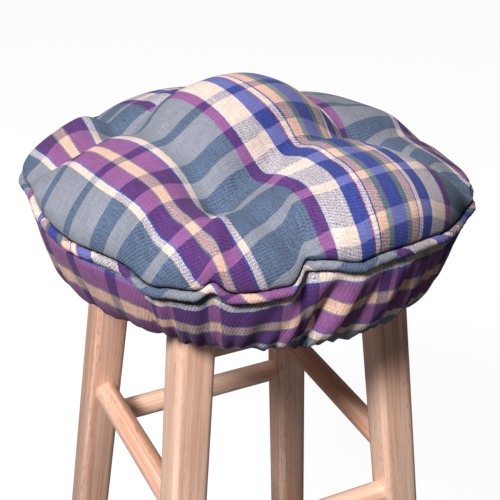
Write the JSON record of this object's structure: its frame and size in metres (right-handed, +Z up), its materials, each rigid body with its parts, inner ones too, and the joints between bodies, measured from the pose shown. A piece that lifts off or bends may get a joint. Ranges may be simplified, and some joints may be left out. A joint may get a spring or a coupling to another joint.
{
  "type": "round bar stool cushion with a gathered skirt, fitted on a wooden bar stool",
  "caption": "Stuffed, tufted round cushion in plaid cloth, with piping and an elastic-hemmed skirt that grips the round seat of a plain wooden bar stool.",
  "frame": {"origin": "on the floor, under the middle of the stool", "axes": "+Z up; +X and +Y along the stool's sides, -Y towards the front rung, so the four legs stand on the diagonals"},
  "size_m": [0.3664, 0.3708, 0.8488],
  "materials": {
    "plaid_cloth": "plain-woven cotton plaid in slate blue, purple, cream, peach and royal blue, matt",
    "bias_piping": "the same plaid cut on the bias over a cord, matt",
    "natural_wood": "pale hardwood, clear satin lacquer"
  },
  "bodies": {
    "root": {"cushion": "plaid_cloth", "skirt": "plaid_cloth", "piping": "bias_piping", "seat": "natural_wood", "leg_front": "natural_wood", "leg_right": "natural_wood", "leg_back": "natural_wood", "leg_left": "natural_wood", "rung_front": "natural_wood", "rung_right": "natural_wood", "rung_back": "natural_wood", "rung_left": "natural_wood", "rung_front_low": "natural_wood", "rung_right_low": "natural_wood", "rung_back_low": "natural_wood", "rung_left_low": "natural_wood", "cleat_front": "natural_wood", "cleat_back": "natural_wood"}
  },
  "joints": []
}
